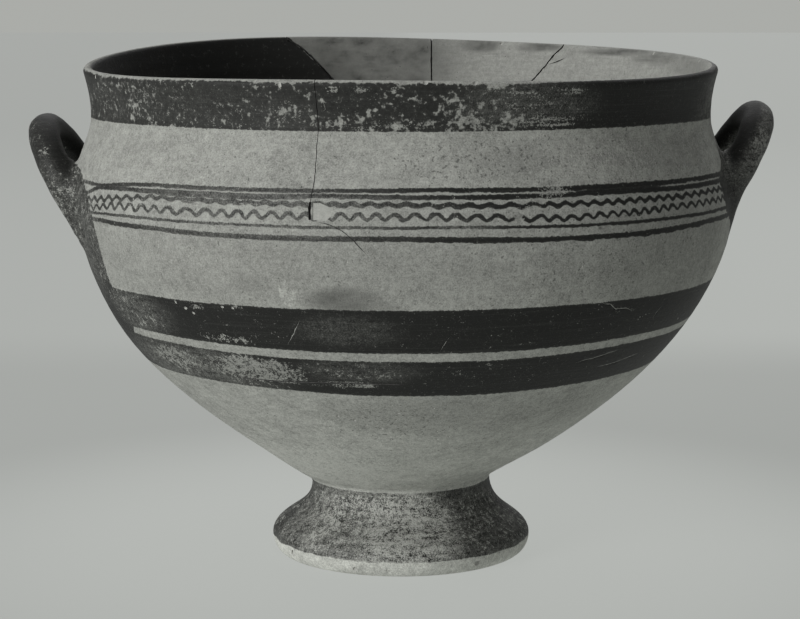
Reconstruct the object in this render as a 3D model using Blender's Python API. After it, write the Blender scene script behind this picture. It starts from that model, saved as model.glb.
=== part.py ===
"""A two-handled pottery bowl on a flaring hollow foot, fired as one piece.

Metres, +Z up. The origin is on the bowl's axis, in the plane that the foot stands on.
+X runs out along the right handle and -X along the left one. The front faces -Y.
"""
import math

import bmesh
import bpy
from mathutils import Vector

# Foot: a flaring skirt with an upright edge, hollow underneath
FOOT_HEIGHT = 0.042             # from the ground to the narrow stem under the bowl
FOOT_RADIUS = 0.076             # widest place of the foot
FOOT_EDGE_HEIGHT = 0.009        # level of that widest place
FOOT_UNDERCUT = 0.0052          # the standing ring lies this far inside the widest place
FOOT_RING_WIDTH = 0.0125        # width of the flat ring that it stands on
STEM_RADIUS = 0.0525

# Bowl: flares from the crease over the stem to the belly, then draws in to the neck
CREASE_OUT = 0.002              # step outwards from the stem to the start of the bowl
CREASE_UP = 0.0035
FLARE_ANGLE = math.radians(32)  # rise of the lower bowl where it leaves the stem
BELLY_RADIUS = 0.188
BOWL_RISE = 0.165               # from the stem to the widest place of the belly
SHOULDER_RISE = 0.052           # from there to the neck
NECK_DRAW_IN = 0.0107           # the neck is this much narrower than the belly, on the radius

# Lip: turned out a little, with a rounded edge that isn't level
LIP_RISE = 0.0285               # from the neck to the mean height of the rim
LIP_TURN_OUT = 0.0035
LIP_ANGLE = math.radians(75)    # rise of the lip's outer face
RIM_TILT = 0.0098               # the back stands this much higher, the front lower
RIM_TILT_TURN = math.radians(4.5)
RIM_SAG = 0.0018                # front and back stand this much above the sides
RIM_SAG_TURN = math.radians(13)

# Walls
WALL = 0.007
LIP_THICKNESS = 0.0055
LOWER_WALL = 0.0095             # wall of the bowl beside the stem
FLOOR_DIP = 0.0045              # the inside bottom lies this far under the stem's level
FLOOR_THICKNESS = 0.0105        # clay between the bowl and the hollow foot, at the axis

# Handles: upswept loops of round section at both sides
HANDLE_THICKNESS = 0.018
HANDLE_STAND_OFF = 0.0265       # outermost place of a handle, measured from the belly
HANDLE_HALF_SPREAD = 0.038      # from the middle of the loop to the middle of an arm
HANDLE_ARCH = 0.036             # rise of the rounded end of the loop
HANDLE_SLOPE = math.radians(62.4)
LEFT_HANDLE_RISE = 0.040        # middle of the clay at the top of the loop, over the belly
RIGHT_HANDLE_RISE = 0.047
ROOT_SWELL = 0.0025             # the arms thicken by this much where they join the wall
ROOT_SWELL_RUN = 0.030

# How full the curves of the profile are, as shares of the stretch that each one spans
SKIRT_TOP_FULLNESS = 0.36
SKIRT_STEM_FULLNESS = 0.61
FLARE_FULLNESS = 0.54
BELLY_FULLNESS_BELOW = 0.46
BELLY_FULLNESS_ABOVE = 0.57
NECK_FULLNESS = 0.325
LIP_FULLNESS = 0.36
HOLLOW_TOP_FULLNESS = 0.62
HOLLOW_RING_FULLNESS = 0.5
SWAY_START = 0.35               # share of the shoulder that stays true to the axis

# Smoothness of the round shapes
SEGMENTS = 60
FOOT_EDGE_STEPS = 3
SKIRT_STEPS = 5
BOWL_STEPS = 11
SHOULDER_STEPS = 4
LIP_STEPS = 3
LIP_ROUNDING_STEPS = 4
FLOOR_STEPS = 4
HOLLOW_STEPS = 5
HANDLE_SIDES = 12
ARCH_STEPS = 12
ARM_STEP = 0.014
SHARP_ANGLE = math.radians(50)

# Levels and radii that follow from the sizes above
BELLY_HEIGHT = FOOT_HEIGHT + BOWL_RISE
NECK_HEIGHT = BELLY_HEIGHT + SHOULDER_RISE
RIM_HEIGHT = NECK_HEIGHT + LIP_RISE
STANDING_RADIUS = FOOT_RADIUS - FOOT_UNDERCUT
NECK_RADIUS = BELLY_RADIUS - NECK_DRAW_IN
LIP_RADIUS = NECK_RADIUS + LIP_TURN_OUT
LIP_EDGE_HEIGHT = RIM_HEIGHT - LIP_THICKNESS / 2 * (1 + math.cos(LIP_ANGLE))
FLOOR_HEIGHT = FOOT_HEIGHT - FLOOR_DIP
HOLLOW_HEIGHT = FLOOR_HEIGHT - FLOOR_THICKNESS
BAR_RADIUS = HANDLE_THICKNESS / 2
BAR_REACH = BELLY_RADIUS + HANDLE_STAND_OFF - BAR_RADIUS
LEFT_HANDLE_HEIGHT = BELLY_HEIGHT + LEFT_HANDLE_RISE
RIGHT_HANDLE_HEIGHT = BELLY_HEIGHT + RIGHT_HANDLE_RISE


def clear_scene():
    for thing in list(bpy.data.objects):
        bpy.data.objects.remove(thing, do_unlink=True)


def fired_clay():
    """Buff clay with dark painted bands, as one mid tone."""
    material = bpy.data.materials.new("fired_clay")
    material.use_nodes = True
    shader = material.node_tree.nodes["Principled BSDF"]
    shader.inputs["Base Color"].default_value = (0.42, 0.39, 0.34, 1.0)
    shader.inputs["Roughness"].default_value = 0.8
    shader.inputs["Metallic"].default_value = 0.0
    return material


def curve(start, leave, arrive, end, steps):
    """Points of a smooth curve in the profile plane, without its last one."""
    points = []
    for step in range(steps):
        t = step / steps
        s = 1.0 - t
        points.append(start * s ** 3 + leave * (3 * s * s * t) + arrive * (3 * s * t * t) + end * t ** 3)
    return points


def at(radius, height):
    return Vector((radius, 0.0, height))


def smooth_step(value, low, high):
    t = min(max((value - low) / (high - low), 0.0), 1.0)
    return t * t * (3.0 - 2.0 * t)


def foot_outside():
    """From the standing ring up over the skirt to the stem."""
    standing = at(STANDING_RADIUS, 0.0)
    widest = at(FOOT_RADIUS, FOOT_EDGE_HEIGHT)
    stem = at(STEM_RADIUS, FOOT_HEIGHT)
    edge_out = at((FOOT_RADIUS + STANDING_RADIUS) / 2, 0.0)
    edge_up = at(FOOT_RADIUS, FOOT_EDGE_HEIGHT / 2)
    skirt = at(0.0, FOOT_HEIGHT - FOOT_EDGE_HEIGHT)
    points = curve(standing, edge_out, edge_up, widest, FOOT_EDGE_STEPS)
    leave = widest + skirt * SKIRT_TOP_FULLNESS
    arrive = stem - skirt * SKIRT_STEM_FULLNESS
    return points + curve(widest, leave, arrive, stem, SKIRT_STEPS) + [stem]


def bowl_outside():
    """From the crease over the stem, round the belly and up to the lip's edge."""
    crease = at(STEM_RADIUS + CREASE_OUT, FOOT_HEIGHT + CREASE_UP)
    belly = at(BELLY_RADIUS, BELLY_HEIGHT)
    neck = at(NECK_RADIUS, NECK_HEIGHT)
    lip = at(LIP_RADIUS, LIP_EDGE_HEIGHT)
    flare = at(math.cos(FLARE_ANGLE), math.sin(FLARE_ANGLE)) * ((belly.x - crease.x) * FLARE_FULLNESS)
    under_belly = at(0.0, (belly.z - crease.z) * BELLY_FULLNESS_BELOW)
    over_belly = at(0.0, SHOULDER_RISE * BELLY_FULLNESS_ABOVE)
    under_neck = at(0.0, SHOULDER_RISE * NECK_FULLNESS)
    lip_reach = (lip.z - neck.z) * LIP_FULLNESS
    turn_out = at(math.cos(LIP_ANGLE), math.sin(LIP_ANGLE)) * lip_reach
    points = curve(crease, crease + flare, belly - under_belly, belly, BOWL_STEPS)
    points += curve(belly, belly + over_belly, neck - under_neck, neck, SHOULDER_STEPS)
    points += curve(neck, neck + at(0.0, lip_reach), lip - turn_out, lip, LIP_STEPS)
    return points + [lip]


def wall_at(height):
    """Thickness of the wall: stout beside the stem, thinner at the lip."""
    lower = LOWER_WALL + (WALL - LOWER_WALL) * smooth_step(height, FOOT_HEIGHT, BELLY_HEIGHT)
    return lower + (LIP_THICKNESS - WALL) * smooth_step(height, NECK_HEIGHT, LIP_EDGE_HEIGHT)


def set_in(points, share):
    """The same line, moved into the clay by a share of the wall's thickness."""
    moved = []
    for index, point in enumerate(points):
        before = points[max(index - 1, 0)]
        after = points[min(index + 1, len(points) - 1)]
        along = (after - before).normalized()
        inwards = Vector((-along.z, 0.0, along.x))
        moved.append(point + inwards * (share * wall_at(point.z)))
    return moved


def lip_rounding(outer, inner):
    """Half a circle over the lip, between its outer and its inner edge."""
    middle = (outer + inner) / 2
    reach = outer - middle
    upwards = Vector((-reach.z, 0.0, reach.x))
    angles = [math.pi * step / LIP_ROUNDING_STEPS for step in range(1, LIP_ROUNDING_STEPS)]
    return [middle + reach * math.cos(angle) + upwards * math.sin(angle) for angle in angles]


def bowl_floor(start):
    """From the low end of the inner wall to the axis, ending flat."""
    floor = at(0.0, FLOOR_HEIGHT)
    reach = start.x / 3
    leave = start - at(reach, reach * math.tan(FLARE_ANGLE))
    return curve(start, leave, floor + at(reach, 0.0), floor, FLOOR_STEPS)[1:] + [floor]


def foot_hollow():
    """From the axis under the floor, down to the inner edge of the standing ring."""
    top = at(0.0, HOLLOW_HEIGHT)
    ring = at(STANDING_RADIUS - FOOT_RING_WIDTH, 0.0)
    leave = top + at(ring.x * HOLLOW_TOP_FULLNESS, 0.0)
    arrive = ring + at(-ring.x, top.z) * (HOLLOW_RING_FULLNESS / 3) + at(0.0, top.z / 3)
    return curve(top, leave, arrive, ring, HOLLOW_STEPS) + [ring]


def rim_rise(angle):
    """Height of the rim over its mean, by the turn from the front towards +X."""
    tilt = -RIM_TILT * math.cos(angle - RIM_TILT_TURN)
    return tilt + RIM_SAG * math.cos(2 * (angle - RIM_SAG_TURN))


def sway_rim(point):
    """Lift or lower the upper wall so that it follows the uneven rim."""
    share = smooth_step(point.z, BELLY_HEIGHT + SHOULDER_RISE * SWAY_START, LIP_EDGE_HEIGHT)
    point.z += share * rim_rise(math.atan2(point.x, -point.y))


def turned(name, outline):
    """Turn a closed outline that starts and ends on the axis into a solid."""
    mesh = bpy.data.meshes.new(name)
    work = bmesh.new()
    corners = [work.verts.new(point) for point in outline]
    edges = [work.edges.new(pair) for pair in zip(corners, corners[1:])]
    bmesh.ops.spin(work, geom=corners + edges, cent=(0, 0, 0), axis=(0, 0, 1),
                   angle=2 * math.pi, steps=SEGMENTS, use_merge=True)
    bmesh.ops.remove_doubles(work, verts=work.verts, dist=0.00001)
    for corner in work.verts:
        sway_rim(corner.co)
    bmesh.ops.recalc_face_normals(work, faces=work.faces)
    work.to_mesh(mesh)
    work.free()
    thing = bpy.data.objects.new(name, mesh)
    bpy.context.collection.objects.link(thing)
    return thing


def outside_radius(height):
    """Radius of the bowl's outside at a level between the crease and the lip."""
    line = bowl_outside()
    for low, high in zip(line, line[1:]):
        if low.z <= height <= high.z:
            share = (height - low.z) / (high.z - low.z)
            return low.x + share * (high.x - low.x)
    return STEM_RADIUS


def depth_in_wall(height, drop):
    """How far the middle of an arm lies inside the bowl's outer face, at a drop down the slope."""
    radius = outside_radius(height + drop * math.sin(HANDLE_SLOPE))
    face = math.sqrt(max(radius ** 2 - HANDLE_HALF_SPREAD ** 2, 0.0))
    return face - (BAR_REACH + drop * math.cos(HANDLE_SLOPE))


def arm_drops(height):
    """Steps down one arm, until the wall has taken it in or curves away under it."""
    drops = []
    drop = -HANDLE_ARCH
    depth = depth_in_wall(height, drop)
    taken_in = False
    while not taken_in:
        drop -= ARM_STEP
        drops.append(drop)
        deeper = depth_in_wall(height, drop)
        taken_in = deeper > BAR_RADIUS + ROOT_SWELL or 0.0 < deeper < depth
        depth = deeper
    return drops


def handle_places(side, height):
    """Middle of the bar along one loop, from inside the wall round to inside the wall."""
    apex = Vector((side * BAR_REACH, 0.0, height))
    up_slope = Vector((side * math.cos(HANDLE_SLOPE), 0.0, math.sin(HANDLE_SLOPE)))
    across = Vector((0.0, HANDLE_HALF_SPREAD, 0.0))
    inwards = Vector((-side * (HANDLE_THICKNESS + LOWER_WALL), 0.0, 0.0))
    arch = []
    for step in range(ARCH_STEPS + 1):
        angle = math.pi * step / ARCH_STEPS
        arch.append(apex - across * math.cos(angle) + up_slope * (HANDLE_ARCH * (math.sin(angle) - 1.0)))
    arm = [apex + up_slope * drop for drop in arm_drops(height)]
    arm += [arm[-1] + inwards / 2, arm[-1] + inwards]
    near_arm = [place - across for place in reversed(arm)]
    far_arm = [place + across for place in arm]
    return near_arm + arch + far_arm


def bar_radius_at(place, height):
    """Half the bar's thickness: it swells where the arms run into the wall."""
    drop = (height - place.z) / math.sin(HANDLE_SLOPE)
    return BAR_RADIUS + ROOT_SWELL * smooth_step(drop, HANDLE_ARCH / 2, HANDLE_ARCH / 2 + ROOT_SWELL_RUN)


def loop_handle(name, side, height):
    """A round bar along the loop."""
    places = handle_places(side, height)
    off_plane = Vector((side * math.sin(HANDLE_SLOPE), 0.0, -math.cos(HANDLE_SLOPE)))
    mesh = bpy.data.meshes.new(name)
    work = bmesh.new()
    rings = []
    for index, place in enumerate(places):
        before = places[max(index - 1, 0)]
        after = places[min(index + 1, len(places) - 1)]
        along = (after - before).normalized()
        sideways = along.cross(off_plane).normalized()
        outwards = sideways.cross(along)
        radius = bar_radius_at(place, height)
        ring = []
        for corner in range(HANDLE_SIDES):
            angle = 2 * math.pi * corner / HANDLE_SIDES
            offset = math.cos(angle) * sideways + math.sin(angle) * outwards
            ring.append(work.verts.new(place + radius * offset))
        rings.append(ring)
    for low, high in zip(rings, rings[1:]):
        for corner in range(HANDLE_SIDES):
            following = (corner + 1) % HANDLE_SIDES
            work.faces.new((low[corner], low[following], high[following], high[corner]))
    work.faces.new(rings[0])
    work.faces.new(rings[-1])
    bmesh.ops.recalc_face_normals(work, faces=work.faces)
    work.to_mesh(mesh)
    work.free()
    thing = bpy.data.objects.new(name, mesh)
    bpy.context.collection.objects.link(thing)
    return thing


def working_shape(thing):
    """Mark a shape that only cuts or joins another."""
    thing.hide_render = True
    thing.display_type = "WIRE"


def combine(thing, other, operation):
    step = thing.modifiers.new(operation.lower() + "_" + other.name, "BOOLEAN")
    step.operation = operation
    step.solver = "EXACT"
    step.object = other


def build_bowl():
    outside = bowl_outside()
    inside = set_in(outside, 1.0)
    wall_middle = set_in(outside, 0.5)

    outline = foot_hollow() + foot_outside() + outside
    outline += lip_rounding(outside[-1], inside[-1]) + list(reversed(inside)) + bowl_floor(inside[0])
    bowl = turned("bowl", outline)

    above = at(wall_middle[-1].x, RIM_HEIGHT + BELLY_RADIUS)
    core_line = [at(0.0, wall_middle[0].z)] + wall_middle + [above, at(0.0, above.z)]
    core = turned("inside_of_the_wall", core_line)
    working_shape(core)

    loops = (("left_handle", -1, LEFT_HANDLE_HEIGHT), ("right_handle", 1, RIGHT_HANDLE_HEIGHT))
    for name, side, height in loops:
        handle = loop_handle(name, side, height)
        working_shape(handle)
        combine(handle, core, "DIFFERENCE")
        combine(bowl, handle, "UNION")

    bowl.data.materials.append(fired_clay())
    bowl.data.shade_smooth()
    bowl.data.set_sharp_from_angle(angle=SHARP_ANGLE)


clear_scene()
build_bowl()
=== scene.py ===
"""Looks of the two-handled pottery bowl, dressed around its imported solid.

Metres, +Z up, in the solid's frame: the axis is at the origin, the front faces -Y and the right
handle runs out along +X. A place on the wall is a turn, in degrees from the front towards +X, and
a level, in millimetres over the ground.
"""

import math
import random
from functools import reduce

import bmesh
import bpy
import numpy as np
from mathutils import Matrix, Vector, noise


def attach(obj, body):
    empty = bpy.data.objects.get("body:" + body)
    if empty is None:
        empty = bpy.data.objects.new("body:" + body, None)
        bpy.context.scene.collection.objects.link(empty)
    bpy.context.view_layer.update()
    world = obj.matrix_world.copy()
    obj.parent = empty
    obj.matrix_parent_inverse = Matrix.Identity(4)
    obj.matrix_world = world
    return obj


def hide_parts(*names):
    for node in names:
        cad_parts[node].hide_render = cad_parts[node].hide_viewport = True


MM = 0.001

# Camera, from the photograph's perspective
CAMERA_DISTANCE = 1.161
CAMERA_HEIGHT = 0.308
CAMERA_PITCH = math.radians(8.17)
CAMERA_LENS = 90.0
CAMERA_SENSOR = 36.0
CAMERA_SHIFT = -0.00125

# Light and stage
LAMPS = {  # turn from the front, rise, strength and softness, in degrees
    "key": (-50, 15, 2.15, 26),
    "overhead": (-30, 78, 0.33, 70),
    "behind": (176, 42, 0.8, 60),
}
FILL_TONE = 0.13  # what the room sends back from all round
BACKGROUND_TONE = 0.415
PAPER_TINT = (0.98, 1.0, 0.95)
GLOW_TINT = (0.965, 1.0, 0.955, 1.0)
FLOOR_SIZE = 120.0
PAPER_TONE = 0.05  # what the paper sends back to the pot
FLOOR_GLOW = 0.332  # lifts the paper to the print's even pale tone
NEAR_GLOW = 0.100  # a painted pool of light on the paper round the foot, within the near reach, where the bowl's shadow would fall
NEAR_REACH = 0.40
FAR_GLOW = 0.362
RIGHT_GLOW = 0.035  # the far paper is this much lighter on the right, over the side reach
SIDE_REACH = 0.6
FAR_FADE = 0.04
FADE_RANGE = (0.8, 5.0)
FLOOR_STEP = (0.55, 0.85)  # the paper's tone steps between these, behind the bowl: a painted step of light and shade in place of a fold, on flat paper

# Foot, as in the solid
FOOT_HEIGHT = 0.042
FOOT_RADIUS = 0.076
FOOT_EDGE_HEIGHT = 0.009
FOOT_UNDERCUT = 0.0052
FOOT_RING_WIDTH = 0.0125
STEM_RADIUS = 0.0525

# Bowl, as in the solid
CREASE_OUT = 0.002
CREASE_UP = 0.0035
FLARE_ANGLE = math.radians(32)
BELLY_RADIUS = 0.188
BOWL_RISE = 0.165
SHOULDER_RISE = 0.052
NECK_DRAW_IN = 0.0107
LIP_RISE = 0.0285
LIP_TURN_OUT = 0.0035
LIP_ANGLE = math.radians(75)
RIM_TILT = 0.0098
RIM_TILT_TURN = math.radians(4.5)
RIM_SAG = 0.0018
RIM_SAG_TURN = math.radians(13)
WALL = 0.007
LIP_THICKNESS = 0.0055
LOWER_WALL = 0.0095
FLOOR_DIP = 0.0045
FLOOR_THICKNESS = 0.0105
SKIRT_TOP_FULLNESS = 0.36
SKIRT_STEM_FULLNESS = 0.61
FLARE_FULLNESS = 0.54
BELLY_FULLNESS_BELOW = 0.46
BELLY_FULLNESS_ABOVE = 0.57
NECK_FULLNESS = 0.325
LIP_FULLNESS = 0.36
HOLLOW_TOP_FULLNESS = 0.62
HOLLOW_RING_FULLNESS = 0.5
SWAY_START = 0.35

# Levels and radii that follow
BELLY_HEIGHT = FOOT_HEIGHT + BOWL_RISE
NECK_HEIGHT = BELLY_HEIGHT + SHOULDER_RISE
RIM_HEIGHT = NECK_HEIGHT + LIP_RISE
STANDING_RADIUS = FOOT_RADIUS - FOOT_UNDERCUT
NECK_RADIUS = BELLY_RADIUS - NECK_DRAW_IN
LIP_RADIUS = NECK_RADIUS + LIP_TURN_OUT
LIP_EDGE_HEIGHT = RIM_HEIGHT - LIP_THICKNESS / 2 * (1 + math.cos(LIP_ANGLE))
FLOOR_HEIGHT = FOOT_HEIGHT - FLOOR_DIP
HOLLOW_HEIGHT = FLOOR_HEIGHT - FLOOR_THICKNESS
SWAY_HEIGHT = BELLY_HEIGHT + SHOULDER_RISE * SWAY_START

# Handles: middle of the clay at the top of each loop, and the loop's make
HANDLES = (
    {"name": "left", "side": -1, "reach": 0.2052, "height": 0.2473, "slope": 61.5,
     "spread": 0.041, "bar": 0.0088, "bow": 0.0031, "curl": 2.7},
    {"name": "right", "side": 1, "reach": 0.2050, "height": 0.2540, "slope": 62.0,
     "spread": 0.038, "bar": 0.0092, "bow": 0.0038, "curl": 1.5},
)
HANDLE_ARCH = 0.036
BOW_RUN = 0.060  # the arms have bowed in by their bow this far down the slope
ROOT_SWELL = 0.0008
ROOT_SWELL_RUN = 0.030
HANDLE_FILLET = 0.009  # reach of the clay smoothed over each joint
HANDLE_UNEVEN = 0.0003
JOINT_EDGE = 0.0012  # longer edges by a joint are halved
SLOPE_STEP = 0.0002

# Unevenness of hand work
RIM_WARP = 0.0011
RIM_WARP_TURN = math.radians(-15)
CREASE_TILT = 0.0015
CREASE_LEVELS = (0.018, 0.040, 0.048, 0.070)
LEFT_FLAT = 0.0024  # the lower left wall is pressed in by this much
FLAT_LEVELS = (0.120, 0.166, 0.190, 0.208)
RIGHT_BULGE = 0.0026  # the right wall stands out by this much
BULGE_LEVELS = (0.140, 0.203, 0.208, 0.228)
WHEEL_MARK_OUTSIDE = 0.00003
WHEEL_MARK_INSIDE = 0.00022
WHEEL_MARK_SPACING = 0.0083
WHEEL_MARK_WANDER = (1.7, 0.8)
WHEEL_MARK_FADE = (0.004, 0.02)
LUMP_DEPTH = 0.00045
GROUND_REACH, AXIS_REACH = 0.004, 0.02  # no lumps at the ground and on the axis
WITHIN_SOLID = 0.9993  # keeps the lumps inside the solid's own size

# Smoothness
COLUMNS = 320
FRONT_CROWDING = 0.30  # the columns stand closer at the front by this share
HOLLOW_STEPS, EDGE_STEPS, SKIRT_STEPS, FLOOR_STEPS = 12, 6, 16, 10
BOWL_STEPS, SHOULDER_STEPS, LIP_STEPS, ROUNDING_STEPS = 80, 26, 14, 9
INSIDE_SHARE = 3  # the lower part of the inside takes one row in so many of the outside's
CORE_COLUMNS = 96
HANDLE_SIDES = 28
HANDLE_STEP = 0.0018
ARCH_STEPS = 40
SUNK_SHARE = 0.95  # an arm ends where its middle is this share of its bar deep in the wall
ARM_END = 0.165  # lowest level that an arm may reach
SHARP_EDGE = math.radians(50)

# Painted lines: level in mm by turn in degrees, then half the stroke
BACK = 180
LINES = {
    "upper": (((-66, 222.1), (-59, 221.9), (-51, 224.2), (-43, 225.5), (-12, 226.1), (3, 226.9),
               (22, 226.2), (58, 225.8), (BACK, 226.0)),
              ((-50, 1.0), (26, 1.1), (30, 1.45), (43, 1.45), (48, 1.2))),
    "second": (((-65, 216.4), (-62, 219.1), (-59, 221.1), (-51, 221.9), (-40, 222.2), (-21, 222.6),
                (-12, 223.7), (8, 223.1), (28, 223.0), (31, 223.9), (43, 223.3), (48, 222.4), (BACK, 222.8)),
               ((-50, 1.1), (-38, 1.6), (-24, 1.5), (-15, 1.15), (26, 1.2), (30, 1.6), (43, 1.5), (48, 1.3))),
    "upper_wave": (((-64, 213.2), (-57, 215.4), (-51, 217.2), (-42, 219.4), (0, 219.7), (18, 218.6),
                    (50, 218.2), (BACK, 218.8)), ((-50, 1.15), (0, 1.3), (25, 1.15))),
    "wave": (((-62, 209.4), (-53, 212.7), (-28, 213.5), (5, 213.7), (26, 211.5), (48, 213.0), (BACK, 213.0)),
             ((-50, 0.85), (0, 0.92), (40, 0.9))),
    "third": (((-62, 206.7), (-50, 208.1), (10, 208.6), (28, 207.4), (50, 207.4), (BACK, 207.8)),
              ((-50, 0.72), (10, 0.7), (45, 0.95))),
    "lowest": (((-62, 203.3), (-43, 203.3), (-30, 202.5), (0, 203.0), (23, 201.3), (40, 201.1),
                (62, 202.8), (BACK, 202.8)), ((-50, 1.2), (0, 1.35), (45, 1.4))),
}
WAVES_IN_ALL = 127  # crests of the wavy line on the whole round
WAVE_CRESTS = ((-51.8, 0), (-39.4, 4), (-31.4, 6), (-17.1, 11), (-1.0, 17), (14.6, 22), (21.7, 24),
               (32.2, 28), (48.3, 35))
WAVE_SWINGS = ((-60, 1.2), (-45, 1.6), (5, 1.55), (26, 1.15), (50, 1.2))
UPPER_WAVE_SWINGS = ((-60, 1.1), (-46, 0.9), (-36, 0.5), (10, 0.55), (24, 0.8), (50, 0.85))
WAVE_LENGTH = 8.7

# Painted bands: edges in mm by turn
RIM_BAND_LOW = ((-60, 255.2), (0, 254.8), (60, 255.2))
FIRST_BAND_TOP = ((-60, 166.2), (0, 166.5), (60, 166.2))
FIRST_BAND_LOW = ((-50, 144.4), (-15, 143.0), (20, 142.7), (50, 144.4))
SECOND_BAND_TOP = ((-50, 140.0), (-15, 138.2), (20, 138.0), (50, 139.9))
SECOND_BAND_LOW = ((-50, 119.6), (-28, 119.2), (-8, 117.6), (20, 117.4), (50, 119.2))
FOOT_PAINT = (9.2, 43.3)
LIP_COVER = ((-180, 0.2), (-150, 0.0), (18, 0.0), (26, 0.2), (40, 0.4), (50, 0.75), (75, 0.75),
             (110, 0.1), (180, 0.2))

# Paint that trails down from the handles: half its width in degrees by level
TRAILS = {
    -1: ((120, -3), (124, 0), (129, 24), (145, 30.7), (166, 28.9), (203, 27.6), (215, 25.5), (225, 20),
         (232, 9), (238, -3)),
    1: ((124, -3), (128, 0), (140, 12), (190, 13), (200, 16), (207, 20), (223, 22), (231, 16), (240, 13),
        (247, 9), (252, -3)),
}

# Soft patches: turn, level in mm, half-turn, half-height in mm, strength
WORN = (
    (-65, 268, 9, 13, 0.3), (-50, 273, 5, 5, 0.45), (-42, 277, 14, 4, 0.34), (-18.5, 264, 4, 6, 0.5),
    (-7, 258, 8, 3.5, 0.42), (-10.8, 275.5, 1.3, 2, 0.9), (-6.4, 275.5, 1.3, 2, 0.9),
    (-1.2, 275.5, 1.3, 2, 0.9),
    (24, 273, 9, 4, 0.6), (24, 259.5, 8, 4.5, 0.72), (22, 267, 8, 3, 0.55), (2, 258, 3.5, 3, 0.45),
    (-30, 262, 14, 9, 0.28), (-55, 155, 12, 13, 0.52), (0, 262, 60, 18, 0.04), (0, 150, 70, 34, 0.12),
    (-36, 163, 2.5, 3, 0.8), (-27.6, 165.8, 1.2, 1.6, 0.9), (-32, 147, 8, 3, 0.66), (-29, 130, 14, 9, 1.0),
    (-50, 131, 10, 9, 0.8), (-9.5, 124, 8, 2.6, 0.75), (-8, 131, 9, 6, 0.5), (24, 225, 3.2, 4, 0.95),
    (-72, 238, 9, 8, 0.85), (77, 243, 10, 9, 0.8), (0, 24, 180, 18, 0.5), (-24, 28, 56, 20, 0.7),
    (17.8, 212.5, 1.4, 4, 1.1), (20, 219, 3, 5, 0.6), (-24, 217, 2, 5, 0.6), (-48, 216, 3, 4, 0.5),
    (6, 221, 3, 5, 0.45), (-28, 122, 12, 3, 0.5), (-38, 262, 26, 16, 0.2), (-62, 180, 6, 30, 0.5),
    (-70, 205, 12, 40, 0.52), (-60, 223, 5, 8, 0.3), (30, 160, 16, 7, 0.22), (14, 128, 22, 8, 0.26),
    (-90, 250, 25, 40, 0.36), (90, 250, 25, 40, 0.36),
)
THIN = (
    (-42, 267, 22, 13, 0.14), (-62, 264, 12, 16, 0.17), (-55, 155, 12, 14, 0.55), (-26, 214, 34, 16, 0.75),
    (-9, 155, 9, 9, 0.3), (-45, 128, 24, 14, 0.75), (21, 268, 13, 12, 0.42), (-20, 263, 8, 10, 0.1),
    (180, 24, 120, 22, 0.7), (-32, 26, 54, 26, 1.5), (2, 26, 34, 26, 2.7), (50, 24, 40, 24, 0.75),
    (-70, 200, 14, 46, 0.5), (90, 250, 26, 46, 1.1), (-90, 250, 26, 40, 0.12), (9, 208, 7, 3, 0.8),
    (-8, 132, 12, 8, 0.35),
)
STREAKED = (
    (20, 266, 20, 18, 1.0), (2, 262, 22, 16, 0.85), (-9, 155, 10, 10, 0.8), (-9.5, 124, 12, 5, 0.9),
    (14, 128, 24, 9, 0.6),
)
SOILED = (
    (-9, 171, 7.5, 9, 1.7), (-4, 168, 5, 4, 0.9), (-24, 178, 5, 7, 0.8), (-15, 184, 5, 5, 0.6),
    (18, 240, 8, 9, 0.55), (50, 190, 18, 40, 0.5), (52, 240, 14, 14, 0.4), (20, 186, 12, 14, 0.28),
    (38, 100, 26, 14, 0.35), (4, 105, 24, 13, 0.5), (-30, 186, 64, 22, 0.42), (-48, 246, 9, 5, 0.3),
)
# Pale patches: pale scrapes and fills on the clay. The wide ones low on the wall, at turns -36 and 20, are
# painted light where the wall faces the floor, and the one at turn 33, level 236, is painted light on the
# right, where the wall turns from the lamp.
PALED_AND_LIT = (
    (-18, 173, 2.2, 10, 0.9), (-18, 95, 4, 8, 0.8), (-19, 78, 4, 10, 0.8), (-22, 62, 5, 10, 0.7),
    (-36, 190, 14, 12, 0.35), (-30, 105, 14, 12, 0.35), (8, 189, 7, 4, 0.3), (-36, 64, 56, 22, 0.95),
    (20, 60, 40, 14, 0.4), (33, 236, 18, 18, 0.6),
)
SPATTERED = ((-2, 98, 15, 17, 0.9), (12, 240, 18, 14, 1.05), (36, 212, 30, 62, 0.7), (-20, 205, 30, 60, 0.25))
INSIDE_SOILED = (
    (-165, 296, 4, 3, 1.2), (-170, 295, 3, 4, 1.2), (175, 292, 2.5, 7, 1.0), (162.7, 293, 5, 5, 1.0),
    (149, 292, 6, 3, 0.95), (128, 289.5, 12, 2.5, 0.95), (115, 286.5, 10, 5, 0.6), (-172, 278, 22, 40, 0.85),
    (100, 285, 12, 12, 0.4),
)
PATCH_EDGE = (0.45, 1.25)  # shares of a patch's size between which it fades out
SHELTER_SLOPE = math.radians(61.5)  # the handles' upper faces, in the lee of this slope, are not worn
HANDLE_TURNS = 24  # the arms join the wall within so many degrees of the side
UNSEEN_PATCHES = 16  # worn places on the side away from the camera
# The inside is near black from the open break at the back round to the left handle: a dark sherd, and painted
# shade carried on over the left of the inside wall, where it lies in shadow.
SHERD_BREAK = {"turn": -154.9, "level": 299.3, "lean": 0.349}
SHERD_AND_SHADE_END = {"turn": -62.0, "level": 260.0, "lean": 0.15}
DARK_SHERD_AND_SHADE_LOW = ((-172, 262), (-158, 214), (-132, 196), (-108, 221), (-84, 203), (-60, 232))

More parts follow.
